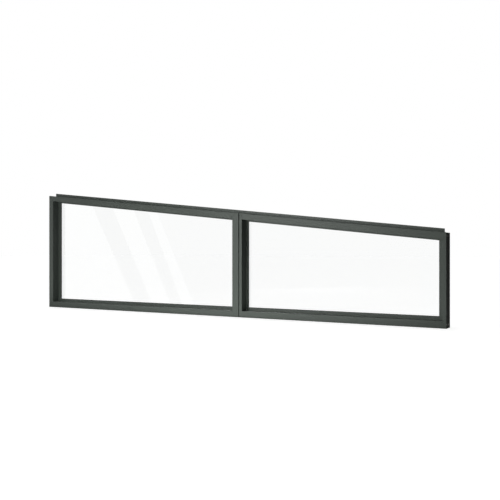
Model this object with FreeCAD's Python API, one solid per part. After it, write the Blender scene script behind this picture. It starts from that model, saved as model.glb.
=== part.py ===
import FreeCAD, Part
import math
import os
from FreeCAD import Vector

# Raked two-lite fixed window: two coupled aluminium frames, each with one beaded pane.
# Millimetres. X runs along the window towards its short end, Y is depth with the front facing -Y,
# and Z is up from the underside of the sills. The origin is the middle of the footprint.

# Sizes of the two coupled units
left_unit_width = 1345.0
right_unit_width = 1055.0
left_height = 675.5
right_height = 420.5

# Widths of the front faces
left_jamb_face = 32.0
right_jamb_face = 16.0
head_face = 30.0
sill_face = 32.5
left_mullion_face = 39.5
right_mullion_face = 18.0

# Widths of the set-back lips that the panes are glazed against
left_jamb_lip = 22.5
right_jamb_lip = 27.0
head_lip = 7.0
sill_lip = 16.5
mullion_lip = 14.5

# Extruded frame section
wall = 2.0
reveal_depth = 45.0
edge_radius = 1.0

# Glass, gaskets and beads
glass_thickness = 6.0
glass_bite = 18.0
glass_clearance = 4.0
gasket_thickness = 2.5
gasket_height = 8.0
gasket_show = 1.0
bead_thickness = 6.0
bead_setback = 8.0
bead_chamfer = 2.0

# Open joint between the units, in the front of the mullion
joint_width = 4.0
joint_depth = 10.0

# Fixing fin on top of the heads
fin_height = 17.0
fin_thickness = 2.0
fin_setback = 40.0
fin_foot = 18.0
fin_inset = 17.0

# Places along the window
overall_width = left_unit_width + right_unit_width
left_end = -overall_width / 2.0
right_end = overall_width / 2.0
joint_x = left_end + left_unit_width

# Places through the depth, from the front face to the back of the beads
frame_depth = reveal_depth + wall + 2.0 * gasket_thickness + glass_thickness + bead_thickness
front_y = -frame_depth / 2.0
lip_front_y = front_y + reveal_depth
lip_back_y = lip_front_y + wall
glass_front_y = lip_back_y + gasket_thickness
glass_back_y = glass_front_y + glass_thickness
bead_front_y = glass_back_y + gasket_thickness
back_y = bead_front_y + bead_thickness

# Slope of the heads
rake = math.atan((left_height - right_height) / overall_width)
along_head = Vector(math.cos(rake), 0.0, -math.sin(rake))
into_head = Vector(-math.sin(rake), 0.0, -math.cos(rake))

# Extra length on raw extrusions, all of it trimmed off again
spare = 2.0 * frame_depth
tallest = max(left_height, right_height) + spare


class Section:
    """Widths of one extruded member, measured inwards from its outer side."""

    def __init__(self, face, lip_width):
        self.face = face
        self.sight = face + lip_width
        self.glass = self.sight - glass_bite
        self.floor = self.glass - glass_clearance
        self.bead = self.sight - bead_setback
        self.front_gasket_outer = self.sight - gasket_height
        self.front_gasket_inner = self.sight + gasket_show
        self.back_gasket_outer = self.bead - gasket_height
        self.back_gasket_inner = self.bead + gasket_show


class Unit:
    """One of the two coupled frames, with the sections of its two uprights."""

    def __init__(self, left_x, right_x, left, right):
        self.left_x = left_x
        self.right_x = right_x
        self.left = left
        self.right = right


left_jamb = Section(left_jamb_face, left_jamb_lip)
right_jamb = Section(right_jamb_face, right_jamb_lip)
head = Section(head_face, head_lip)
sill = Section(sill_face, sill_lip)
left_mullion = Section(left_mullion_face, mullion_lip)
right_mullion = Section(right_mullion_face, mullion_lip)
left_unit = Unit(left_end, joint_x, left_jamb, left_mullion)
right_unit = Unit(joint_x, right_end, right_mullion, right_jamb)


def head_line(x, drop):
    """Height at x of the line that runs `drop` below the top of the heads, square to their slope."""
    return left_height - (x - left_end) * math.tan(rake) - drop / math.cos(rake)


def prism(points, sweep):
    """Solid swept along a vector from a closed flat outline."""
    return Part.Face(Part.makePolygon(points + [points[0]])).extrude(sweep)


def plan_prism(points, low_z, high_z):
    """Upright solid from an outline of (x, y) points."""
    corners = [Vector(x, y, low_z) for x, y in points]
    return prism(corners, Vector(0.0, 0.0, high_z - low_z))


def elevation_prism(points, near_y, far_y):
    """Flat solid from an outline of (x, z) points, between two depths."""
    corners = [Vector(x, near_y, z) for x, z in points]
    return prism(corners, Vector(0.0, far_y - near_y, 0.0))


def profile_prism(points, corner, inward, sweep):
    """Extrusion of a profile of (p, y) points, with p measured inwards from the outer corner."""
    corners = [corner + inward * p + Vector(0.0, y, 0.0) for p, y in points]
    return prism(corners, sweep)


def rectangle(low_p, high_p, low_y, high_y):
    """Corners of a rectangle in a profile."""
    return [(low_p, low_y), (high_p, low_y), (high_p, high_y), (low_p, high_y)]


def frame_outline(section, rebate):
    """Outside of a frame section: face, reveal, lip, glazing rebate, back and outer side."""
    outline = [
        (rebate, front_y),
        (section.face, front_y),
        (section.face, lip_front_y),
        (section.sight, lip_front_y),
        (section.sight, lip_back_y),
        (section.floor, lip_back_y),
        (section.floor, back_y),
        (0.0, back_y),
    ]
    if rebate:
        outline += [(0.0, front_y + joint_depth), (rebate, front_y + joint_depth)]
    return outline


def front_and_back_edges(solid, sweep):
    """Long edges of an extrusion that lie in its front or back plane."""
    edges = []
    for edge in solid.Edges:
        start, end = [vertex.Point for vertex in edge.Vertexes]
        lengthwise = (end - start).cross(sweep).Length < 1e-6 * sweep.Length
        on_front = abs(start.y - front_y) < 1e-6
        on_back = abs(start.y - back_y) < 1e-6
        if lengthwise and (on_front or on_back):
            edges.append(edge)
    return edges


def extrusion(section, corner, inward, sweep, rebate=0.0):
    """Two-chamber hollow extrusion with eased edges, swept from its outer corner."""
    solid = profile_prism(frame_outline(section, rebate), corner, inward, sweep)
    solid = solid.makeFillet(edge_radius, front_and_back_edges(solid, sweep))
    front_chamber = rectangle(rebate + wall, section.face - wall, front_y + wall, lip_front_y)
    back_chamber = rectangle(wall, section.floor - wall, lip_back_y, back_y - wall)
    for chamber in (front_chamber, back_chamber):
        solid = solid.cut(profile_prism(chamber, corner, inward, sweep))
    return solid


def upright(section, outer_x, inward_x, rebate=0.0):
    """Jamb or mullion half: runs from the floor to the head line, its top cut to the rake."""
    corner = Vector(outer_x, 0.0, 0.0)
    solid = extrusion(section, corner, Vector(inward_x, 0.0, 0.0), Vector(0.0, 0.0, tallest), rebate)
    low_x = left_end - spare
    high_x = right_end + spare
    under_head = [
        (low_x, -spare),
        (high_x, -spare),
        (high_x, head_line(high_x, 0.0)),
        (low_x, head_line(low_x, 0.0)),
    ]
    return solid.common(elevation_prism(under_head, front_y - spare, back_y + spare))


def between_uprights(unit):
    """Space between a unit's uprights, stepped in plan round their lips and rebates."""
    low_y = front_y - spare
    high_y = back_y + spare
    left_side = [
        (unit.left_x + unit.left.floor, high_y),
        (unit.left_x + unit.left.floor, lip_back_y),
        (unit.left_x + unit.left.sight, lip_back_y),
        (unit.left_x + unit.left.sight, lip_front_y),
        (unit.left_x + unit.left.face, lip_front_y),
        (unit.left_x + unit.left.face, low_y),
    ]
    right_side = [
        (unit.right_x - unit.right.face, low_y),
        (unit.right_x - unit.right.face, lip_front_y),
        (unit.right_x - unit.right.sight, lip_front_y),
        (unit.right_x - unit.right.sight, lip_back_y),
        (unit.right_x - unit.right.floor, lip_back_y),
        (unit.right_x - unit.right.floor, high_y),
    ]
    return plan_prism(left_side + right_side, -spare, tallest + spare)


def sill_member(unit):
    """Level sill, its ends milled to fit the uprights."""
    corner = Vector(unit.left_x, 0.0, 0.0)
    sweep = Vector(unit.right_x - unit.left_x, 0.0, 0.0)
    return extrusion(sill, corner, Vector(0.0, 0.0, 1.0), sweep).common(between_uprights(unit))


def head_member(unit):
    """Raked head, its ends milled to fit the uprights."""
    start_x = unit.left_x - spare
    corner = Vector(start_x, 0.0, head_line(start_x, 0.0))
    sweep = along_head * ((unit.right_x - unit.left_x + 2.0 * spare) / math.cos(rake))
    return extrusion(head, corner, into_head, sweep).common(between_uprights(unit))


def pane(unit):
    """Sheet of glass, held all round under the lips and clear of the rebate floors."""
    left_x = unit.left_x + unit.left.glass
    right_x = unit.right_x - unit.right.glass
    outline = [
        (left_x, sill.glass),
        (right_x, sill.glass),
        (right_x, head_line(right_x, head.glass)),
        (left_x, head_line(left_x, head.glass)),
    ]
    return elevation_prism(outline, glass_front_y, glass_back_y)


def strip_outlines(unit, outer, inner):
    """Four strips round a pane between two named widths of the sections.

    The sill and head strips run through, and the upright strips butt between them. In each outline the
    last two points are the edge nearest the middle of the pane.
    """
    low_outer = getattr(sill, outer)
    low_inner = getattr(sill, inner)
    top_outer = getattr(head, outer)
    top_inner = getattr(head, inner)
    left_outer = unit.left_x + getattr(unit.left, outer)
    left_inner = unit.left_x + getattr(unit.left, inner)
    right_outer = unit.right_x - getattr(unit.right, outer)
    right_inner = unit.right_x - getattr(unit.right, inner)
    return {
        "sill": [
            (left_outer, low_outer),
            (right_outer, low_outer),
            (right_outer, low_inner),
            (left_outer, low_inner),
        ],
        "head": [
            (right_outer, head_line(right_outer, top_outer)),
            (left_outer, head_line(left_outer, top_outer)),
            (left_outer, head_line(left_outer, top_inner)),
            (right_outer, head_line(right_outer, top_inner)),
        ],
        "left": [
            (left_outer, head_line(left_outer, top_inner)),
            (left_outer, low_inner),
            (left_inner, low_inner),
            (left_inner, head_line(left_inner, top_inner)),
        ],
        "right": [
            (right_outer, low_inner),
            (right_outer, head_line(right_outer, top_inner)),
            (right_inner, head_line(right_inner, top_inner)),
            (right_inner, low_inner),
        ],
    }


def bead_strip(outline):
    """Glazing bead, with its back edge next to the glass chamfered."""
    solid = elevation_prism(outline, bead_front_y, back_y)
    ends = [Vector(x, back_y, z) for x, z in outline[2:]]
    sight_edges = []
    for edge in solid.Edges:
        distances = [min((vertex.Point - end).Length for end in ends) for vertex in edge.Vertexes]
        if max(distances) < 1e-6:
            sight_edges.append(edge)
    return solid.makeChamfer(bead_chamfer, sight_edges)


def fin_strip():
    """Angle strip seated on both heads: an upstand in front and a foot behind it."""
    foot_back_y = front_y + fin_setback + fin_foot
    upstand_y = front_y + fin_setback
    profile = [
        (0.0, upstand_y),
        (-fin_height, upstand_y),
        (-fin_height, upstand_y + fin_thickness),
        (-fin_thickness, upstand_y + fin_thickness),
        (-fin_thickness, foot_back_y),
        (0.0, foot_back_y),
    ]
    start_x = left_end - spare
    corner = Vector(start_x, 0.0, head_line(start_x, 0.0))
    sweep = along_head * ((overall_width + 2.0 * spare) / math.cos(rake))
    trim = [
        (left_end + fin_inset, front_y - spare),
        (right_end - fin_inset, front_y - spare),
        (right_end - fin_inset, back_y + spare),
        (left_end + fin_inset, back_y + spare),
    ]
    return profile_prism(profile, corner, into_head, sweep).common(plan_prism(trim, -spare, tallest + spare))


def unit_nodes(side, unit, upright_names):
    """Every piece of one unit apart from its uprights, by node name."""
    nodes = {
        f"{side}_sill": sill_member(unit),
        f"{side}_head": head_member(unit),
        f"{side}_glass": pane(unit),
    }
    beads = strip_outlines(unit, "floor", "bead")
    front_gaskets = strip_outlines(unit, "front_gasket_outer", "front_gasket_inner")
    back_gaskets = strip_outlines(unit, "back_gasket_outer", "back_gasket_inner")
    for place in beads:
        name = f"{side}_{upright_names.get(place, place)}"
        nodes[f"{name}_bead"] = bead_strip(beads[place])
        nodes[f"{name}_front_gasket"] = elevation_prism(front_gaskets[place], lip_back_y, glass_front_y)
        nodes[f"{name}_back_gasket"] = elevation_prism(back_gaskets[place], glass_back_y, bead_front_y)
    return nodes


def window_nodes():
    """Every piece of the window, by node name."""
    half_joint = joint_width / 2.0
    nodes = {
        "left_jamb": upright(left_jamb, left_end, 1.0),
        "mullion_left_half": upright(left_mullion, joint_x, -1.0, half_joint),
        "mullion_right_half": upright(right_mullion, joint_x, 1.0, half_joint),
        "right_jamb": upright(right_jamb, right_end, -1.0),
        "head_fin": fin_strip(),
    }
    nodes.update(unit_nodes("left", left_unit, {"left": "jamb", "right": "mullion"}))
    nodes.update(unit_nodes("right", right_unit, {"left": "mullion", "right": "jamb"}))
    return nodes


os.makedirs("parts", exist_ok=True)
for node_name, shape in window_nodes().items():
    shape.exportStep(f"parts/{node_name}.step")
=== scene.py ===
"""Dresses a raked fixed window: powder-coated frames, clear panes, gaskets, steel screws and end plugs."""

import logging
import math
from collections.abc import Callable, Iterable
from dataclasses import dataclass, field
from enum import Enum

import bpy
from mathutils import Matrix, Vector

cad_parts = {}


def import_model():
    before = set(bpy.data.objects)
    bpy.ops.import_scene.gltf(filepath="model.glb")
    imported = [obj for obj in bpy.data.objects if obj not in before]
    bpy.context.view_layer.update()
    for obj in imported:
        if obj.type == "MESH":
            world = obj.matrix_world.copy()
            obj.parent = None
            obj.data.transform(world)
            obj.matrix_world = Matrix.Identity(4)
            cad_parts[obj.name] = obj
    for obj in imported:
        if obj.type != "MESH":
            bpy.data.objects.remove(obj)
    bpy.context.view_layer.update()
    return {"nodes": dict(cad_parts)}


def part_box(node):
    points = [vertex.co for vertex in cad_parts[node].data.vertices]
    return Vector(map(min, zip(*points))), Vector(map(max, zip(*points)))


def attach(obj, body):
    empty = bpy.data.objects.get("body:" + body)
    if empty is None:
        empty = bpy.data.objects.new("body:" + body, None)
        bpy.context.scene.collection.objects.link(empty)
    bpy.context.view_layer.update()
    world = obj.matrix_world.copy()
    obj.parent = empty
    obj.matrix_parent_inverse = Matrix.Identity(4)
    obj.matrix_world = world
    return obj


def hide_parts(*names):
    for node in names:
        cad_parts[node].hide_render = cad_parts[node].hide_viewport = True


LOG = logging.getLogger("raked_window")
BODY = "root"
MERGE_GAP = 1e-6
ROUND_PROFILE = 0.5

# Sockets of a Mix node that is set to colours
MIX_FIRST = 6
MIX_SECOND = 7
MIX_RESULT = 2

Colour = tuple[float, float, float]
Point = tuple[float, float, float]
Span = tuple[float, float]
Level = float | bpy.types.NodeSocket


class Run(Enum):
    """Which way an extruded member runs."""

    LEVEL = "level"
    UPRIGHT = "upright"
    RAKED = "raked"

    def turn(self, rake: float) -> float:
        """Angle about Y that lays the member's length along X, for a head that falls by rake."""
        return {Run.LEVEL: 0.0, Run.UPRIGHT: math.pi / 2.0, Run.RAKED: -rake}[self]

    @staticmethod
    def of(node: str) -> "Run":
        """Direction of a frame member, bead or fin.

        Args:
            node: name of the node.

        Returns:
            The direction that the name gives.
        """
        if "head" in node:
            return Run.RAKED
        if "sill" in node:
            return Run.LEVEL
        return Run.UPRIGHT


class Slot(Enum):
    """Kinds of finish that the nodes are sorted into."""

    COAT = "powder_coat"
    GLASS = "clear_glass"
    RUBBER = "gasket_rubber"

    @staticmethod
    def of(node: str) -> "Slot":
        """Slot of a node, from the last word of its name."""
        return {"glass": Slot.GLASS, "gasket": Slot.RUBBER}.get(node.split("_")[-1], Slot.COAT)


class Reach(Enum):
    """What a lamp lights: a finish as a whole, its paint alone or its sheen alone."""

    WHOLE = "whole"
    PAINT = "paint"
    SHEEN = "sheen"


class PanelShape(Enum):
    """Outlines of the flat lamps."""

    OBLONG = "RECTANGLE"
    OVAL = "ELLIPSE"


class Spared(Enum):
    """What a lamp's light can leave out."""

    PANES = "panes"
    FLOOR = "floor"


class Side(Enum):
    """The two ends of the window."""

    LEFT = "left"
    RIGHT = "right"

    @property
    def outward(self) -> Vector:
        """Direction that this end's outer side looks in."""
        return Vector((-1.0 if self is Side.LEFT else 1.0, 0.0, 0.0))


class Element(Enum):
    """Kinds of mesh element that are chosen in edit mode."""

    EDGE = "EDGE"
    FACE = "FACE"


class Graph:
    """Short-hand for wiring one shader node tree."""

    def __init__(self, tree: bpy.types.NodeTree) -> None:
        """Start from an empty tree."""
        self.tree = tree
        tree.nodes.clear()

    def add(self, kind: str, values: dict | None = None, **settings) -> bpy.types.Node:
        """Add a node.

        Args:
            kind: Blender's type name of the node.
            values: input values by socket name or number; a socket as a value is linked.
            settings: properties of the node itself.

        Returns:
            The new node.
        """
        node = self.tree.nodes.new(kind)
        for name, value in settings.items():
            setattr(node, name, value)
        for key, value in (values or {}).items():
            if isinstance(value, bpy.types.NodeSocket):
                self.tree.links.new(value, node.inputs[key])
            else:
                node.inputs[key].default_value = value
        return node

    def math(self, operation: str, *operands: Level) -> bpy.types.NodeSocket:
        """Add a Math node and return its value."""
        return self.add("ShaderNodeMath", dict(enumerate(operands)), operation=operation).outputs[0]

    def spread(self, value: bpy.types.NodeSocket, low: Level, high: Level) -> bpy.types.NodeSocket:
        """Spread a value between 0 and 1 over the range from low to high."""
        values = {"Value": value, "To Min": low, "To Max": high}
        return self.add("ShaderNodeMapRange", values).outputs["Result"]

    def fade(self, value: bpy.types.NodeSocket, span: Span, rest: float) -> bpy.types.NodeSocket:
        """One up to the start of a span, falling to the rest at its end."""
        values = {"Value": value, "From Min": span[0], "From Max": span[1], "To Min": 1.0, "To Max": rest}
        return self.add("ShaderNodeMapRange", values).outputs["Result"]

    def blend(self, share: Level, first: object, second: object) -> bpy.types.NodeSocket:
        """Mix two colours, each a socket or four numbers, by a share."""
        values = {"Factor": share, MIX_FIRST: first, MIX_SECOND: second}
        return self.add("ShaderNodeMix", values, data_type="RGBA").outputs[MIX_RESULT]

    def noise(self, vector: bpy.types.NodeSocket, scale: Level, detail: float) -> bpy.types.NodeSocket:
        """Add a Noise texture and return its value."""
        values = {"Vector": vector, "Scale": scale, "Detail": detail}
        return self.add("ShaderNodeTexNoise", values).outputs["Fac"]


class Effect:
    """A shader effect that several finishes share, kept as one node group."""

    name = ""
    inputs: dict[str, tuple[str, object]] = {}
    outputs: dict[str, str] = {}

    def wire(self, graph: Graph, given: bpy.types.Node, result: bpy.types.Node) -> None:
        """Wire the effect between the group's input and output nodes.

        Args:
            graph: graph of the group.
            given: the group's input node.
            result: the group's output node.
        """
        raise NotImplementedError

    def tree(self) -> bpy.types.NodeTree:
        """Build the effect's node group at its first use.

        Returns:
            The group.
        """
        found = bpy.data.node_groups.get(self.name)
        if found:
            return found
        tree = bpy.data.node_groups.new(self.name, "ShaderNodeTree")
        for name, (kind, default) in self.inputs.items():
            socket = tree.interface.new_socket(name, in_out="INPUT", socket_type=kind)
            if default is not None:
                socket.default_value = default
        for name, kind in self.outputs.items():
            tree.interface.new_socket(name, in_out="OUTPUT", socket_type=kind)
        graph = Graph(tree)
        self.wire(graph, graph.add("NodeGroupInput"), graph.add("NodeGroupOutput"))
        return tree

    def place(self, graph: Graph, **values) -> bpy.types.Node:
        """Place the effect in a material.

        Args:
            graph: the material's graph.
            values: input values, with underscores for the spaces in their names.

        Returns:
            The group node.
        """
        named = {key.replace("_", " "): value for key, value in values.items()}
        return graph.add("ShaderNodeGroup", named, node_tree=self.tree())


class MottledFilm(Effect):
    """Slow clouds and fine grain in the tone and sheen of a coat, rubber or metal."""

    name = "mottled_film"
    cloud_detail = 3.0
    grain_detail = 2.0
    inputs = {
        "Vector": ("NodeSocketVector", None),
        "Tone": ("NodeSocketColor", (0.5, 0.5, 0.5, 1.0)),
        "Cloud Scale": ("NodeSocketFloat", 4.0),
        "Cloud Amount": ("NodeSocketFloat", 0.05),
        "Grain Scale": ("NodeSocketFloat", 600.0),
        "Grain Amount": ("NodeSocketFloat", 0.03),
        "Smooth": ("NodeSocketFloat", 0.4),
        "Rough": ("NodeSocketFloat", 0.5),
    }
    outputs = {"Color": "NodeSocketColor", "Roughness": "NodeSocketFloat", "Height": "NodeSocketFloat"}

    def wire(self, graph: Graph, given: bpy.types.Node, result: bpy.types.Node) -> None:
        """Two noises set the tone, and the slow one the sheen.

        Args:
            graph: graph of the group.
            given: the group's input node.
            result: the group's output node.
        """
        vector = given.outputs["Vector"]
        cloud = graph.noise(vector, given.outputs["Cloud Scale"], self.cloud_detail)
        grain = graph.noise(vector, given.outputs["Grain Scale"], self.grain_detail)
        shade: Level = 1.0
        for noise, amount in ((cloud, "Cloud Amount"), (grain, "Grain Amount")):
            centred = graph.math("MULTIPLY_ADD", noise, 2.0, -1.0)
            shade = graph.math("MULTIPLY_ADD", centred, given.outputs[amount], shade)
        values = {0: given.outputs["Tone"], "Scale": shade}
        tone = graph.add("ShaderNodeVectorMath", values, operation="SCALE")
        sheen = graph.spread(cloud, given.outputs["Smooth"], given.outputs["Rough"])
        graph.tree.links.new(tone.outputs[0], result.inputs["Color"])
        graph.tree.links.new(sheen, result.inputs["Roughness"])
        graph.tree.links.new(grain, result.inputs["Height"])


class SettledDust(Effect):
    """Patchy share of dust on faces that look up."""

    name = "settled_dust"
    steepness = 2.0
    patch_detail = 5.0
    inputs = {
        "Vector": ("NodeSocketVector", None),
        "Scale": ("NodeSocketFloat", 25.0),
        "Amount": ("NodeSocketFloat", 0.1),
    }
    outputs = {"Mask": "NodeSocketFloat"}

    def wire(self, graph: Graph, given: bpy.types.Node, result: bpy.types.Node) -> None:
        """The upward part of the normal, broken up by noise.

        Args:
            graph: graph of the group.
            given: the group's input node.
            result: the group's output node.
        """
        normal = graph.add("ShaderNodeNewGeometry").outputs["Normal"]
        height = graph.add("ShaderNodeSeparateXYZ", {0: normal}).outputs["Z"]
        upward = graph.math("POWER", graph.math("MAXIMUM", height, 0.0), self.steepness)
        patches = graph.noise(given.outputs["Vector"], given.outputs["Scale"], self.patch_detail)
        share = graph.math("MULTIPLY", graph.math("MULTIPLY", upward, patches), given.outputs["Amount"])
        graph.tree.links.new(share, result.inputs["Mask"])


class EdgeRub(Effect):
    """Broken share of rubbed film along convex and concave edges."""

    name = "edge_rub"
    samples = 6
    contrast = 5.0
    break_scale = 40.0
    break_detail = 4.0
    inputs = {
        "Vector": ("NodeSocketVector", None),
        "Radius": ("NodeSocketFloat", 0.0015),
        "Amount": ("NodeSocketFloat", 0.3),
    }
    outputs = {"Mask": "NodeSocketFloat"}

    def wire(self, graph: Graph, given: bpy.types.Node, result: bpy.types.Node) -> None:
        """How far the rounded normal leaves the true one, broken up by noise.

        Args:
            graph: graph of the group.
            given: the group's input node.
            result: the group's output node.
        """
        radius = {"Radius": given.outputs["Radius"]}
        rounded = graph.add("ShaderNodeBevel", radius, samples=self.samples).outputs[0]
        normal = graph.add("ShaderNodeNewGeometry").outputs["Normal"]
        facing = graph.add("ShaderNodeVectorMath", {0: rounded, 1: normal}, operation="DOT_PRODUCT")
        edge = graph.math("SUBTRACT", 1.0, facing.outputs["Value"])
        edge = graph.math("MINIMUM", graph.math("MULTIPLY", edge, self.contrast), 1.0)
        broken = graph.noise(given.outputs["Vector"], self.break_scale, self.break_detail)
        share = graph.math("MULTIPLY", graph.math("MULTIPLY", edge, broken), given.outputs["Amount"])
        graph.tree.links.new(share, result.inputs["Mask"])


class DrawnLines(Effect):
    """Fine lengthwise lines that the die leaves on an extrusion, along X of the vector."""

    name = "drawn_lines"
    along_scale = 1.5
    detail = 2.0
    inputs = {"Vector": ("NodeSocketVector", None), "Lines per Metre": ("NodeSocketFloat", 900.0)}
    outputs = {"Height": "NodeSocketFloat"}

    def wire(self, graph: Graph, given: bpy.types.Node, result: bpy.types.Node) -> None:
        """Noise that is stretched along the member.

        Args:
            graph: graph of the group.
            given: the group's input node.
            result: the group's output node.
        """
        density = given.outputs["Lines per Metre"]
        across = graph.add("ShaderNodeCombineXYZ", {0: self.along_scale, 1: density, 2: density})
        stretched = graph.add(
            "ShaderNodeVectorMath", {0: given.outputs["Vector"], 1: across.outputs[0]}, operation="MULTIPLY"
        )
        lines = graph.noise(stretched.outputs[0], 1.0, self.detail)
        graph.tree.links.new(lines, result.inputs["Height"])


MOTTLED_FILM = MottledFilm()
SETTLED_DUST = SettledDust()
EDGE_RUB = EdgeRub()
DRAWN_LINES = DrawnLines()


def new_material(name: str) -> tuple[bpy.types.Material, Graph]:
    """Make a material with an empty node tree.

    Args:
        name: name of the material.

    Returns:
        The material and its graph.
    """
    material = bpy.data.materials.new(name)
    material.use_nodes = True
    return material, Graph(material.node_tree)


def object_vector(graph: Graph, turn: float = 0.0) -> bpy.types.NodeSocket:
    """Object coordinates, turned about Y."""
    place = graph.add("ShaderNodeTexCoord").outputs["Object"]
    return graph.add("ShaderNodeMapping", {"Vector": place, "Rotation": (0.0, turn, 0.0)}).outputs[0]


def show(graph: Graph, surface: bpy.types.Node) -> None:
    """Wire a shader to the material's surface."""
    graph.add("ShaderNodeOutputMaterial", {"Surface": surface.outputs[0]})


@dataclass(frozen=True)
class PowderCoat:
    """Satin dark grey-green powder coat on extruded aluminium."""

    tone: Colour = (0.086, 0.102, 0.089)
    rubbed_tone: Colour = (0.15, 0.165, 0.15)
    dust_tone: Colour = (0.30, 0.29, 0.27)
    smooth: float = 0.42
    rough: float = 0.54
    specular: float = 0.28
    peel_depth: float = 0.00007
    line_depth: float = 0.00001

    def material(self, run: Run, rake: float) -> bpy.types.Material:
        """The coat for members that run one way.

        Args:
            run: direction of the members.
            rake: fall of the head, in radians.

        Returns:
            The material.
        """
        material, graph = new_material(f"powder_coat_{run.value}")
        vector = object_vector(graph, run.turn(rake))
        film = MOTTLED_FILM.place(
            graph, Vector=vector, Tone=(*self.tone, 1.0), Cloud_Scale=3.0, Cloud_Amount=0.05,
            Grain_Scale=640.0, Grain_Amount=0.16, Smooth=self.smooth, Rough=self.rough,
        )
        rub = EDGE_RUB.place(graph, Vector=vector, Radius=0.0012, Amount=0.25)
        dust = SETTLED_DUST.place(graph, Vector=vector, Scale=18.0, Amount=0.12)
        colour = graph.blend(rub.outputs["Mask"], film.outputs["Color"], (*self.rubbed_tone, 1.0))
        colour = graph.blend(dust.outputs["Mask"], colour, (*self.dust_tone, 1.0))
        lines = DRAWN_LINES.place(graph, Vector=vector, Lines_per_Metre=900.0)
        drawn = graph.add("ShaderNodeBump", {"Height": lines.outputs[0], "Distance": self.line_depth})
        peel = graph.add(
            "ShaderNodeBump",
            {"Height": film.outputs["Height"], "Distance": self.peel_depth, "Normal": drawn.outputs[0]},
        )
        shader = graph.add("ShaderNodeBsdfPrincipled", {
            "Base Color": colour,
            "Roughness": film.outputs["Roughness"],
            "Specular IOR Level": self.specular,
            "Normal": peel.outputs[0],
        })
        show(graph, shader)
        return material


@dataclass(frozen=True)
class FloatGlass:
    """Clear float glass with the faintest wave and a few smears."""

    tint: Colour = (0.972, 0.979, 0.976)
    refraction: float = 1.5
    smear_rough: float = 0.012
    wave_depth: float = 0.00002
    wave_scale: float = 2.0
    wave_detail: float = 1.0

    def material(self) -> bpy.types.Material:
        """Wire the panes' finish.

        Returns:
            The material.
        """
        material, graph = new_material("clear_float_glass")
        vector = object_vector(graph)
        film = MOTTLED_FILM.place(
            graph, Vector=vector, Tone=(*self.tint, 1.0), Cloud_Scale=1.5, Cloud_Amount=0.004,
            Grain_Scale=7.0, Grain_Amount=0.002, Smooth=0.0, Rough=self.smear_rough,
        )
        wave = graph.noise(vector, self.wave_scale, self.wave_detail)
        bump = graph.add("ShaderNodeBump", {"Height": wave, "Distance": self.wave_depth})
        shader = graph.add("ShaderNodeBsdfPrincipled", {
            "Base Color": film.outputs["Color"],
            "Roughness": film.outputs["Roughness"],
            "IOR": self.refraction,
            "Transmission Weight": 1.0,
            "Normal": bump.outputs[0],
        })
        show(graph, shader)
        return material


@dataclass(frozen=True)
class GasketRubber:
    """Matt black extruded rubber."""

    tone: Colour = (0.017, 0.018, 0.018)
    dust_tone: Colour = (0.12, 0.12, 0.11)
    grain_depth: float = 0.00006

    def material(self) -> bpy.types.Material:
        """Wire the gaskets' finish.

        Returns:
            The material.
        """
        material, graph = new_material("gasket_rubber")
        vector = object_vector(graph)
        film = MOTTLED_FILM.place(
            graph, Vector=vector, Tone=(*self.tone, 1.0), Cloud_Scale=9.0, Cloud_Amount=0.15,
            Grain_Scale=900.0, Grain_Amount=0.10, Smooth=0.62, Rough=0.82,
        )
        dust = SETTLED_DUST.place(graph, Vector=vector, Scale=40.0, Amount=0.2)
        colour = graph.blend(dust.outputs["Mask"], film.outputs["Color"], (*self.dust_tone, 1.0))
        bump = graph.add("ShaderNodeBump", {"Height": film.outputs["Height"], "Distance": self.grain_depth})
        shader = graph.add("ShaderNodeBsdfPrincipled", {
            "Base Color": colour,
            "Roughness": film.outputs["Roughness"],
            "Specular IOR Level": 0.3,
            "Normal": bump.outputs[0],
        })
        show(graph, shader)
        return material


@dataclass(frozen=True)
class ScrewSteel:
    """Plain stainless steel of the fixing screws."""

    tone: Colour = (0.46, 0.46, 0.44)

    def material(self) -> bpy.types.Material:
        """Wire the screws' finish.

        Returns:
            The material.
        """
        material, graph = new_material("screw_steel")
        vector = object_vector(graph)
        film = MOTTLED_FILM.place(
            graph, Vector=vector, Tone=(*self.tone, 1.0), Cloud_Scale=160.0, Cloud_Amount=0.12,
            Grain_Scale=2500.0, Grain_Amount=0.08, Smooth=0.26, Rough=0.44,
        )
        shader = graph.add("ShaderNodeBsdfPrincipled", {
            "Base Color": film.outputs["Color"],
            "Roughness": film.outputs["Roughness"],
            "Metallic": 1.0,
        })
        show(graph, shader)
        return material


@dataclass(frozen=True)
class PlugNylon:
    """Moulded dark grey nylon of the end plugs."""

    tone: Colour = (0.052, 0.060, 0.054)
    dust_tone: Colour = (0.26, 0.25, 0.23)
    grain_depth: float = 0.00005

    def material(self) -> bpy.types.Material:
        """Wire the plugs' finish.

        Returns:
            The material.
        """
        material, graph = new_material("plug_nylon")
        vector = object_vector(graph)
        film = MOTTLED_FILM.place(
            graph, Vector=vector, Tone=(*self.tone, 1.0), Cloud_Scale=60.0, Cloud_Amount=0.10,
            Grain_Scale=1300.0, Grain_Amount=0.12, Smooth=0.46, Rough=0.64,
        )
        dust = SETTLED_DUST.place(graph, Vector=vector, Scale=60.0, Amount=0.16)
        colour = graph.blend(dust.outputs["Mask"], film.outputs["Color"], (*self.dust_tone, 1.0))
        bump = graph.add("ShaderNodeBump", {"Height": film.outputs["Height"], "Distance": self.grain_depth})
        shader = graph.add("ShaderNodeBsdfPrincipled", {
            "Base Color": colour,
            "Roughness": film.outputs["Roughness"],
            "Specular IOR Level": 0.4,
            "Normal": bump.outputs[0],
        })
        show(graph, shader)
        return material


def make_active(piece: bpy.types.Object) -> None:
    """Select one object alone and make it the active one.

    Args:
        piece: the object.
    """
    bpy.ops.object.select_all(action="DESELECT")
    piece.select_set(True)
    bpy.context.view_layer.objects.active = piece


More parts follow.
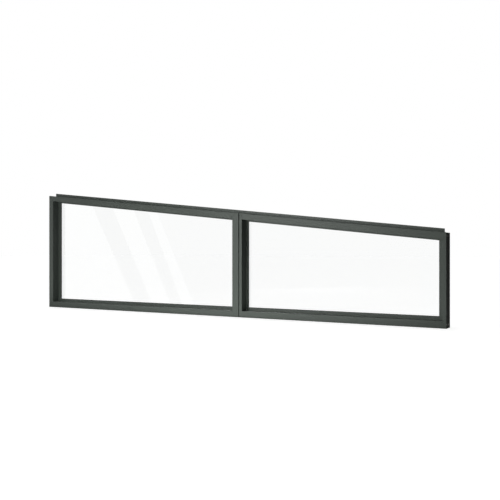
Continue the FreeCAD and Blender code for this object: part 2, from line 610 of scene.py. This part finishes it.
def edit(piece: bpy.types.Object, element: Element, chosen: Callable[[object], bool]) -> None:
    """Enter edit mode with some elements of a mesh selected.

    Args:
        piece: the object to edit.
        element: kind of element to select.
        chosen: test for each edge or face.
    """
    mesh = piece.data
    make_active(piece)
    for group in (mesh.vertices, mesh.edges, mesh.polygons):
        group.foreach_set("select", [False] * len(group))
    for item in {Element.EDGE: mesh.edges, Element.FACE: mesh.polygons}[element]:
        item.select = chosen(item)
    bpy.ops.object.mode_set(mode="EDIT")
    bpy.ops.mesh.select_mode(type=element.value)


def leave_edit() -> None:
    """Go back to object mode."""
    bpy.ops.object.mode_set(mode="OBJECT")


def join(name: str, pieces: list[bpy.types.Object]) -> bpy.types.Object:
    """Join several objects into one.

    Args:
        name: name of the joined object.
        pieces: the objects to join.

    Returns:
        The joined object.
    """
    make_active(pieces[0])
    for piece in pieces[1:]:
        piece.select_set(True)
    bpy.ops.object.join()
    pieces[0].name = name
    return pieces[0]


def seat(piece: bpy.types.Object, material: bpy.types.Material) -> None:
    """Give a new piece its finish and its body.

    Args:
        piece: the new piece.
        material: its finish.
    """
    piece.data.materials.clear()
    piece.data.materials.append(material)
    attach(piece, BODY)
    LOG.info("piece %s", piece.name)


@dataclass
class WindowFrame:
    """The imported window: its nodes, its ends and the fall of its head."""

    nodes: dict[str, bpy.types.Object]
    coat: PowderCoat = field(default_factory=PowderCoat)
    glass: FloatGlass = field(default_factory=FloatGlass)

    @property
    def tall_corner(self) -> Vector:
        """Top of the outer side at the tall end, in the middle of the depth."""
        low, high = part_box("left_jamb")
        return Vector((low.x, (low.y + high.y) / 2.0, high.z))

    @property
    def rake(self) -> float:
        """Fall of the head, between the highest edges of the two jambs.

        Returns:
            The angle in radians.
        """
        left_low, left_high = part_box("left_jamb")
        right_low, right_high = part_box("right_jamb")
        return math.atan2(left_high.z - right_high.z, right_low.x - left_low.x)

    @property
    def head_normal(self) -> Vector:
        """Direction square to the top of the heads."""
        return Vector((math.sin(self.rake), 0.0, math.cos(self.rake)))

    def head_point(self, x: float, y: float, rise: float = 0.0) -> Vector:
        """Point on the plane of the head's top, or a rise above it, at a place in plan."""
        z = self.tall_corner.z - (x - self.tall_corner.x) * math.tan(self.rake)
        return Vector((x, y, z)) + self.head_normal * rise

    @property
    def panes(self) -> list[bpy.types.Object]:
        """The two panes."""
        return [node for name, node in self.nodes.items() if Slot.of(name) is Slot.GLASS]

    def dress(self) -> None:
        """Give every node of metal and glass its finish."""
        coats = {run: self.coat.material(run, self.rake) for run in Run}
        panes = self.glass.material()
        for name, node in self.nodes.items():
            slot = Slot.of(name)
            if slot is Slot.RUBBER:
                continue
            node.data.materials.clear()
            node.data.materials.append(panes if slot is Slot.GLASS else coats[Run.of(name)])
            node.visible_shadow = slot is not Slot.GLASS
            LOG.info("node %s", name)


@dataclass
class GlazingGaskets:
    """Rubber strips round both panes, with rounded noses towards the open glass."""

    window: WindowFrame
    nose_radius: float = 0.0011
    nose_segments: int = 4
    flat_angle: float = math.radians(1.0)
    smooth_angle: float = math.radians(40.0)
    rubber: GasketRubber = field(default_factory=GasketRubber)

    def strip(self, name: str) -> bpy.types.Object:
        """Model one strip from a copy of its plain solid.

        Args:
            name: node that the strip stands for.

        Returns:
            The finished strip.
        """
        source = self.window.nodes[name]
        piece = bpy.data.objects.new(f"{name}_strip", source.data.copy())
        bpy.context.scene.collection.objects.link(piece)
        edit(piece, Element.FACE, lambda face: True)
        bpy.ops.mesh.customdata_custom_splitnormals_clear()
        bpy.ops.mesh.remove_doubles(threshold=MERGE_GAP)
        bpy.ops.mesh.dissolve_limited(angle_limit=self.flat_angle)
        leave_edit()
        nose = self.nose_edges(piece, name.split("_")[0])
        edit(piece, Element.EDGE, lambda edge: edge.index in nose)
        bpy.ops.mesh.bevel(offset=self.nose_radius, segments=self.nose_segments, profile=ROUND_PROFILE)
        leave_edit()
        bpy.ops.object.shade_smooth_by_angle(angle=self.smooth_angle)
        return piece

    def nose_edges(self, piece: bpy.types.Object, side: str) -> set[int]:
        """Find a strip's two long edges that are nearest the middle of the pane.

        Args:
            piece: the strip.
            side: first word of the names of the strip's unit.

        Returns:
            The numbers of the edges.
        """
        low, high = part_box(f"{side}_glass")
        middle = (low + high) / 2.0
        points = piece.data.vertices

        def length(edge: bpy.types.MeshEdge) -> float:
            """Length of an edge."""
            return (points[edge.vertices[0]].co - points[edge.vertices[1]].co).length

        def distance(edge: bpy.types.MeshEdge) -> float:
            """How far an edge's middle is from the pane's, seen from the front."""
            offset = (points[edge.vertices[0]].co + points[edge.vertices[1]].co) / 2.0 - middle
            return Vector((offset.x, offset.z)).length

        half = max(length(edge) for edge in piece.data.edges) / 2.0
        long_edges = [edge for edge in piece.data.edges if length(edge) > half]
        return {edge.index for edge in sorted(long_edges, key=distance)[:2]}

    def build(self) -> None:
        """Model and dress every strip."""
        rubber = self.rubber.material()
        for name in sorted(self.window.nodes):
            if Slot.of(name) is Slot.RUBBER:
                piece = self.strip(name)
                seat(piece, rubber)
                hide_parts(name)


@dataclass
class FixingScrews:
    """Pan-head screws in the fin's foot, and low-headed ones through the jambs into the head and sill."""

    window: WindowFrame
    head_radius: float = 0.0042
    head_height: float = 0.0024
    head_sides: int = 28
    crown: float = 0.7
    crown_segments: int = 4
    crown_profile: float = 0.55
    smooth_angle: float = math.radians(35.0)
    recess_length: float = 0.0044
    recess_width: float = 0.0011
    recess_depth: float = 0.0014
    low_rise: float = 0.0007
    fin_spacing: float = 0.3
    fin_end_margin: float = 0.08
    rise_digits: int = 5
    corner_inset: float = 0.016
    corner_depths: tuple[float, float] = (0.012, 0.034)
    steel: ScrewSteel = field(default_factory=ScrewSteel)

    def screw(self) -> bpy.types.Object:
        """Model one screw head, standing on the origin with its recess up.

        Returns:
            The screw head.
        """
        bpy.ops.object.select_all(action="DESELECT")
        bpy.ops.mesh.primitive_cylinder_add(
            vertices=self.head_sides,
            radius=self.head_radius,
            depth=self.head_height,
            location=(0.0, 0.0, self.head_height / 2.0),
        )
        piece = bpy.context.active_object
        bpy.ops.object.transform_apply()
        top = self.head_height - MERGE_GAP
        points = piece.data.vertices
        edit(piece, Element.EDGE, lambda edge: all(points[index].co.z > top for index in edge.vertices))
        bpy.ops.mesh.bevel(
            offset=self.head_height * self.crown, segments=self.crown_segments, profile=self.crown_profile
        )
        leave_edit()
        for turn in (0.0, math.pi / 2.0):
            self.cut_recess(piece, turn)
        make_active(piece)
        bpy.ops.object.shade_smooth_by_angle(angle=self.smooth_angle)
        return piece

    def cut_recess(self, piece: bpy.types.Object, turn: float) -> None:
        """Cut one bar of the cross recess.

        Args:
            piece: the screw head.
            turn: angle of the bar about the screw's axis.
        """
        bpy.ops.object.select_all(action="DESELECT")
        top = (0.0, 0.0, self.head_height)
        bpy.ops.mesh.primitive_cube_add(size=1.0, location=top, rotation=(0.0, 0.0, turn))
        bar = bpy.context.active_object
        bar.scale = (self.recess_length, self.recess_width, 2.0 * self.recess_depth)
        bpy.ops.object.transform_apply()
        make_active(piece)
        cut = piece.modifiers.new("recess", "BOOLEAN")
        cut.operation = "DIFFERENCE"
        cut.object = bar
        bpy.ops.object.modifier_apply(modifier=cut.name)
        bpy.data.objects.remove(bar)

    def copies(self, name: str, pattern: bpy.types.Object, places: Iterable[Matrix]) -> bpy.types.Object:
        """Copy a screw to each place and join the copies into one piece.

        Args:
            name: name of the piece.
            pattern: the screw to copy.
            places: placements of the copies.

        Returns:
            The piece.
        """
        made = []
        for place in places:
            mesh = pattern.data.copy()
            mesh.transform(place)
            copy = bpy.data.objects.new(name, mesh)
            bpy.context.scene.collection.objects.link(copy)
            made.append(copy)
        return join(name, made)

    def facing(self, point: Vector, outward: Vector) -> Matrix:
        """Placement of a screw at a point, its head looking outward."""
        return Matrix.Translation(point) @ outward.to_track_quat("Z", "Y").to_matrix().to_4x4()

    def fin_places(self) -> list[Matrix]:
        """Space screws evenly along the foot behind the fin's upstand.

        Returns:
            Placements of the screws.
        """
        low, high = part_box("head_fin")
        normal = self.window.head_normal
        base = self.window.head_point(low.x, 0.0)
        points = self.window.nodes["head_fin"].data.vertices
        rises = sorted({round((point.co - base).dot(normal), self.rise_digits) for point in points})
        thickness = rises[1]
        run = high.x - low.x - 2.0 * self.fin_end_margin
        count = round(run / self.fin_spacing) + 1
        step = run / (count - 1)
        y = (low.y + thickness + high.y) / 2.0
        spots = [low.x + self.fin_end_margin + index * step for index in range(count)]
        return [self.facing(self.window.head_point(x, y, thickness), normal) for x in spots]

    def jamb_places(self, side: Side) -> list[Matrix]:
        """Place two screws opposite the head and two opposite the sill, on the outer side of a jamb.

        Args:
            side: end of the window that the jamb is at.

        Returns:
            Placements of the screws.
        """
        low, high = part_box(f"{side.value}_jamb")
        x = low.x if side is Side.LEFT else high.x
        sunk = side.outward * (self.low_rise - self.head_height)
        top = self.window.head_point(x, 0.0).z - self.corner_inset
        places = []
        for z in (self.corner_inset, top):
            for depth in self.corner_depths:
                places.append(self.facing(Vector((x, low.y + depth, z)) + sunk, side.outward))
        return places

    def build(self) -> None:
        """Model the screws and drive them home."""
        steel = self.steel.material()
        pattern = self.screw()
        groups = {"fin_screws": self.fin_places()}
        for side in Side:
            groups[f"{side.value}_jamb_screws"] = self.jamb_places(side)
        for name, places in groups.items():
            seat(self.copies(name, pattern, places), steel)
        bpy.data.objects.remove(pattern)


@dataclass(frozen=True)
class Upright:
    """Hollow upright: which way its inner side lies, and how its two chambers lie from its outer side."""

    node: str
    inward: int
    front_chamber: tuple[float, float]
    back_chamber: tuple[float, float]


@dataclass
class EndPlugs:
    """Moulded plugs that close the open ends of the uprights' chambers."""

    window: WindowFrame
    uprights: tuple[Upright, ...] = (
        Upright("left_jamb", 1, (0.0020, 0.0300), (0.0020, 0.0305)),
        Upright("mullion_left_half", -1, (0.0040, 0.0375), (0.0020, 0.0300)),
        Upright("mullion_right_half", 1, (0.0040, 0.0160), (0.0020, 0.0085)),
        Upright("right_jamb", -1, (0.0020, 0.0140), (0.0020, 0.0190)),
    )
    front_depths: tuple[float, float] = (0.0020, 0.0450)
    back_depths: tuple[float, float] = (0.0470, 0.0620)
    play: float = 0.0001
    recess: float = 0.0005
    thickness: float = 0.004
    edge_round: float = 0.0006
    edge_segments: int = 3
    rim: float = 0.0018
    dish: float = 0.0009
    blank_reach: float = 0.02
    smooth_angle: float = math.radians(35.0)
    nylon: PlugNylon = field(default_factory=PlugNylon)

    def blank(self, low: Vector, high: Vector, plane: Vector, outward: Vector) -> bpy.types.Object:
        """Block that fills a chamber, cut to a plug's thickness under a plane.

        Args:
            low: lowest corner of the chamber in plan.
            high: highest corner of the chamber in plan.
            plane: point of the plug's outer face.
            outward: direction that the outer face looks in.

        Returns:
            The block.
        """
        bpy.ops.object.select_all(action="DESELECT")
        bpy.ops.mesh.primitive_cube_add(size=1.0, location=(*((low + high) / 2.0).xy, plane.z))
        piece = bpy.context.active_object
        piece.scale = (*(high - low).xy, 2.0 * self.blank_reach)
        bpy.ops.object.transform_apply()
        edit(piece, Element.FACE, lambda face: True)
        bpy.ops.mesh.bisect(plane_co=plane, plane_no=outward, use_fill=True, clear_outer=True)
        bpy.ops.mesh.select_all(action="SELECT")
        under = plane - outward * self.thickness
        bpy.ops.mesh.bisect(plane_co=under, plane_no=outward, use_fill=True, clear_inner=True)
        leave_edit()
        return piece

    def plug(self, low: Vector, high: Vector, plane: Vector, outward: Vector) -> bpy.types.Object:
        """Model one plug with a rounded rim and a dished face.

        Args:
            low: lowest corner of the chamber in plan.
            high: highest corner of the chamber in plan.
            plane: point of the plug's outer face.
            outward: direction that the outer face looks in.

        Returns:
            The plug.
        """
        piece = self.blank(low, high, plane, outward)
        points = piece.data.vertices

        def on_face(index: int) -> bool:
            """Whether a vertex lies in the outer face."""
            return abs((points[index].co - plane).dot(outward)) < MERGE_GAP

        edit(piece, Element.EDGE, lambda edge: all(on_face(index) for index in edge.vertices))
        bpy.ops.mesh.bevel(offset=self.edge_round, segments=self.edge_segments, profile=ROUND_PROFILE)
        leave_edit()
        edit(piece, Element.FACE, lambda face: all(on_face(index) for index in face.vertices))
        bpy.ops.mesh.inset(thickness=self.rim, depth=-self.dish)
        leave_edit()
        bpy.ops.object.shade_smooth_by_angle(angle=self.smooth_angle)
        return piece

    def plugs(self, upright: Upright) -> list[bpy.types.Object]:
        """Model the four plugs of an upright: two at its top and two at its foot.

        Args:
            upright: the upright that they close.

        Returns:
            The plugs.
        """
        low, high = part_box(upright.node)
        outer = low.x if upright.inward > 0 else high.x
        made = []
        for span, depths in (
            (upright.front_chamber, self.front_depths), (upright.back_chamber, self.back_depths),
        ):
            sides = sorted(outer + upright.inward * reach for reach in span)
            chamber_low = Vector((sides[0] + self.play, low.y + depths[0] + self.play))
            chamber_high = Vector((sides[1] - self.play, low.y + depths[1] - self.play))
            middle = (chamber_low + chamber_high) / 2.0
            top = self.window.head_point(middle.x, middle.y, -self.recess)
            made.append(self.plug(chamber_low, chamber_high, top, self.window.head_normal))
            foot = Vector((middle.x, middle.y, low.z + self.recess))
            made.append(self.plug(chamber_low, chamber_high, foot, Vector((0.0, 0.0, -1.0))))
        return made

    def build(self) -> None:
        """Model the plugs and seat them in the uprights."""
        nylon = self.nylon.material()
        for upright in self.uprights:
            piece = join(f"{upright.node}_end_plugs", self.plugs(upright))
            seat(piece, nylon)


@dataclass(frozen=True)
class ReflectedCard:
    """Leaning card in front of the panes that only their reflections show."""

    name: str
    low_left: float
    low_right: float
    top_left: float
    top_right: float
    distance: float
    level: float


@dataclass(frozen=True)
class SoftPanel:
    """Flat lamp, what it lights of a finish, and what its light leaves out."""

    name: str
    shape: PanelShape
    reach: Reach
    place: Point
    target: Point
    width: float
    height: float
    power: float
    spares: tuple[Spared, ...] = ()
    spread: float = math.pi


@dataclass
class Studio:
    """White floor and surround, soft lamps and the cards that glint in the glass."""

    panes: list[bpy.types.Object]
    ground: bpy.types.Object | None = None
    floor_span: float = 80.0
    floor_drop: float = 0.0004
    floor_tone: float = 0.20
    floor_seen_tone: float = 0.60
    floor_glow: float = 0.764
    floor_mirrored: float = 0.58
    floor_front_fade: Span = (-0.2, 0.1)
    floor_right_fade: Span = (1.0, 1.3)
    sky_right_fade: Span = (-0.2, 0.1)
    sky_front_fade: Span = (0.0, 0.3)
    ambient: float = 0.04
    ambient_behind: float = 0.55
    mirrored: float = 0.80
    dark_side: float = 0.05
    overhead_strength: float = 0.9
    overhead_spread: float = math.radians(25.0)
    panels: tuple[SoftPanel, ...] = (
        SoftPanel(
            "key_strip", PanelShape.OBLONG, Reach.WHOLE, place=(-0.8, -2.6, 0.6), target=(2.4, 0.0, 0.6),
            width=1.2, height=1.2, power=29.5, spares=(Spared.PANES,), spread=math.radians(160.0),
        ),
        SoftPanel(
            "front_fill", PanelShape.OBLONG, Reach.PAINT, place=(0.1, -3.0, 0.3), target=(0.1, 0.0, 0.3),
            width=0.5, height=0.8, power=2.5, spares=(Spared.PANES, Spared.FLOOR), spread=math.radians(65.0),
        ),
        SoftPanel(
            "floor_bounce", PanelShape.OVAL, Reach.PAINT, place=(0.05, -0.2, 0.002),
            target=(0.05, -0.2, 1.0), width=2.7, height=0.32, power=2.15,
        ),
        SoftPanel(
            "back_strip", PanelShape.OBLONG, Reach.WHOLE, place=(-1.6, 3.0, 1.0), target=(0.6, 0.0, 0.4),
            width=0.8, height=1.6, power=60.0, spares=(Spared.PANES, Spared.FLOOR),
        ),
        SoftPanel(
            "end_sheen", PanelShape.OBLONG, Reach.SHEEN, place=(4.0, -0.2, 0.8), target=(1.2, 0.0, 0.25),
            width=1.6, height=1.2, power=24.0, spares=(Spared.PANES, Spared.FLOOR),
        ),
    )
    card_low: float = 0.0
    card_top: float = 0.75
    cards: tuple[ReflectedCard, ...] = (
        ReflectedCard(
            "broad_card", low_left=-1.60, low_right=-0.303, top_left=-1.60, top_right=-0.674,
            distance=0.201, level=1.45,
        ),
        ReflectedCard(
            "first_band", low_left=-0.742, low_right=-0.609, top_left=-1.169, top_right=-1.006,
            distance=0.20, level=0.50,
        ),
        ReflectedCard(
            "second_band", low_left=-0.471, low_right=-0.386, top_left=-0.841, top_right=-0.731,
            distance=0.20, level=0.50,
        ),
    )

    def sight(self, graph: Graph) -> tuple[bpy.types.NodeSocket, bpy.types.NodeSocket]:
        """Which rays look at the studio.

        Args:
            graph: graph of the floor or the surround.

        Returns:
            One for rays that come from the eye, straight or through glass, and one for their reflections.
        """
        path = graph.add("ShaderNodeLightPath")
        unscattered = graph.math("SUBTRACT", 1.0, graph.math("MINIMUM", path.outputs["Diffuse Depth"], 1.0))
        reflected = graph.math("MINIMUM", path.outputs["Glossy Depth"], 1.0)
        mirror = graph.math("MAXIMUM", path.outputs["Is Glossy Ray"], path.outputs["Is Transmission Ray"])
        mirror = graph.math("MULTIPLY", graph.math("MULTIPLY", mirror, reflected), unscattered)
        straight = graph.math("MAXIMUM", path.outputs["Is Camera Ray"], path.outputs["Is Transmission Ray"])
        straight = graph.math("MULTIPLY", straight, graph.math("SUBTRACT", unscattered, mirror))
        return straight, mirror

    def floor_material(self) -> bpy.types.Material:
        """Wire a pale paint that shows white and keeps the shadow under the window.

        Returns:
            The material.
        """
        material, graph = new_material("studio_floor")
        straight, mirror = self.sight(graph)
        place = graph.add("ShaderNodeTexCoord").outputs["Object"]
        parts = graph.add("ShaderNodeSeparateXYZ", {0: place})
        front = graph.fade(parts.outputs["Y"], self.floor_front_fade, self.dark_side)
        left = graph.fade(parts.outputs["X"], self.floor_right_fade, self.dark_side)
        lit = graph.math("MULTIPLY", graph.math("MULTIPLY", mirror, front), left)
        mirrored = graph.math("MULTIPLY", lit, self.floor_mirrored)
        level = graph.math("MULTIPLY_ADD", straight, self.floor_glow, mirrored)
        glow = graph.add("ShaderNodeEmission", {"Strength": level})
        tone = graph.spread(straight, self.floor_tone, self.floor_seen_tone)
        paint = graph.add("ShaderNodeBsdfDiffuse", {"Color": tone})
        show(graph, graph.add("ShaderNodeAddShader", {0: glow.outputs[0], 1: paint.outputs[0]}))
        return material

    def floor(self) -> None:
        """Lay the floor under the window."""
        bpy.ops.object.select_all(action="DESELECT")
        bpy.ops.mesh.primitive_plane_add(size=self.floor_span, location=(0.0, 0.0, -self.floor_drop))
        floor = bpy.context.active_object
        floor.name = "studio_floor"
        floor.data.materials.append(self.floor_material())
        self.ground = floor

    def surround(self) -> None:
        """White to the eye and through glass, dim to the paint, and dark on the right."""
        world = bpy.data.worlds.new("studio_surround")
        bpy.context.scene.world = world
        world.use_nodes = True
        graph = Graph(world.node_tree)
        straight, mirror = self.sight(graph)
        direction = graph.add("ShaderNodeTexCoord").outputs["Generated"]
        parts = graph.add("ShaderNodeSeparateXYZ", {0: direction})
        left = graph.fade(parts.outputs["X"], self.sky_right_fade, self.dark_side)
        front = graph.fade(parts.outputs["Y"], self.sky_front_fade, 0.0)
        mirrored = graph.spread(front, self.mirrored * self.dark_side, self.mirrored)
        ambient = graph.spread(front, self.ambient_behind, self.ambient)
        level = graph.math("MULTIPLY", graph.spread(mirror, ambient, mirrored), left)
        strength = graph.spread(straight, level, 1.0)
        background = graph.add("ShaderNodeBackground", {"Color": (1.0, 1.0, 1.0, 1.0), "Strength": strength})
        graph.add("ShaderNodeOutputWorld", {"Surface": background.outputs[0]})

    def lamp(self, name: str, kind: str, power: float) -> bpy.types.Object:
        """Add a lamp that the camera doesn't show.

        Args:
            name: name of the lamp.
            kind: Blender's type name of the lamp.
            power: its power, or a sun's strength.

        Returns:
            The lamp.
        """
        data = bpy.data.lights.new(name, kind)
        data.energy = power
        lamp = bpy.data.objects.new(name, data)
        lamp.visible_camera = False
        lamp.visible_transmission = False
        bpy.context.scene.collection.objects.link(lamp)
        return lamp

    def spare(self, lamp: bpy.types.Object, kinds: tuple[Spared, ...]) -> None:
        """Leave the panes or the floor out of what a lamp lights.

        Args:
            lamp: the lamp.
            kinds: what its light leaves out.
        """
        spared = bpy.data.collections.new(f"{lamp.name}_spares")
        for kind in kinds:
            for item in self.panes if kind is Spared.PANES else [self.ground]:
                spared.objects.link(item)
        for entry in spared.collection_objects:
            entry.light_linking.link_state = "EXCLUDE"
        lamp.light_linking.receiver_collection = spared

    def hang(self, panel: SoftPanel) -> None:
        """Hang one flat lamp.

        Args:
            panel: what the lamp is and where it hangs.
        """
        lamp = self.lamp(panel.name, "AREA", panel.power)
        lamp.data.shape = panel.shape.value
        lamp.data.size = panel.width
        lamp.data.size_y = panel.height
        lamp.data.spread = panel.spread
        lamp.visible_glossy = panel.reach is not Reach.PAINT
        lamp.visible_diffuse = panel.reach is not Reach.SHEEN
        lamp.location = panel.place
        direction = Vector(panel.target) - Vector(panel.place)
        lamp.rotation_euler = direction.to_track_quat("-Z", "Y").to_euler()
        if panel.spares:
            self.spare(lamp, panel.spares)

    def lights(self) -> None:
        """Hang soft panels in front, low on the floor, behind and off one end, and a wide light overhead."""
        for panel in self.panels:
            self.hang(panel)
        overhead = self.lamp("overhead_soft_light", "SUN", self.overhead_strength)
        overhead.data.angle = self.overhead_spread
        overhead.visible_glossy = False

    def card(self, shape: ReflectedCard) -> None:
        """Stand one card in front of the panes, for glossy rays alone.

        Args:
            shape: the card's corners, distance and brightness.
        """
        bpy.ops.object.select_all(action="DESELECT")
        bpy.ops.mesh.primitive_plane_add(size=1.0)
        card = bpy.context.active_object
        card.name = shape.name
        corners = (
            (shape.low_left, self.card_low), (shape.low_right, self.card_low),
            (shape.top_left, self.card_top), (shape.top_right, self.card_top),
        )
        for vertex, (x, z) in zip(card.data.vertices, corners):
            vertex.co = (x, -shape.distance, z)
        material, graph = new_material(shape.name)
        show(graph, graph.add("ShaderNodeEmission", {"Strength": shape.level}))
        card.data.materials.append(material)
        card.visible_camera = False
        card.visible_diffuse = False
        card.visible_transmission = False
        card.visible_shadow = False

    def build(self) -> None:
        """Set up the floor, the surround, the lights and the cards."""
        self.floor()
        self.surround()
        self.lights()
        for shape in self.cards:
            self.card(shape)


@dataclass
class PhotoCamera:
    """Level camera to the right of the window."""

    place: Point = (1.9725, -3.082, 0.339)
    azimuth: float = math.radians(30.0)
    lens: float = 50.0
    sensor: float = 36.0
    shift_up: float = 0.00225

    def build(self) -> None:
        """Add the camera and make it the scene's own."""
        data = bpy.data.cameras.new("photo_camera")
        data.lens = self.lens
        data.sensor_width = self.sensor
        data.shift_y = self.shift_up
        camera = bpy.data.objects.new("photo_camera", data)
        camera.location = self.place
        camera.rotation_euler = (math.pi / 2.0, 0.0, self.azimuth)
        bpy.context.scene.collection.objects.link(camera)
        bpy.context.scene.camera = camera


def corners(box: tuple[Vector, Vector]) -> list[list[float]]:
    """A box's two corners as plain lists."""
    return [list(corner) for corner in box]


def main() -> None:
    """Load the window, dress it, light it and set up the camera."""
    logging.basicConfig(level=logging.INFO, format="%(name)s: %(message)s")
    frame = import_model()
    bpy.context.scene.view_settings.view_transform = "Standard"
    window = WindowFrame(frame["nodes"])
    window.dress()
    GlazingGaskets(window).build()
    FixingScrews(window).build()
    EndPlugs(window).build()
    Studio(window.panes).build()
    PhotoCamera().build()


if __name__ == "__main__":
    main()
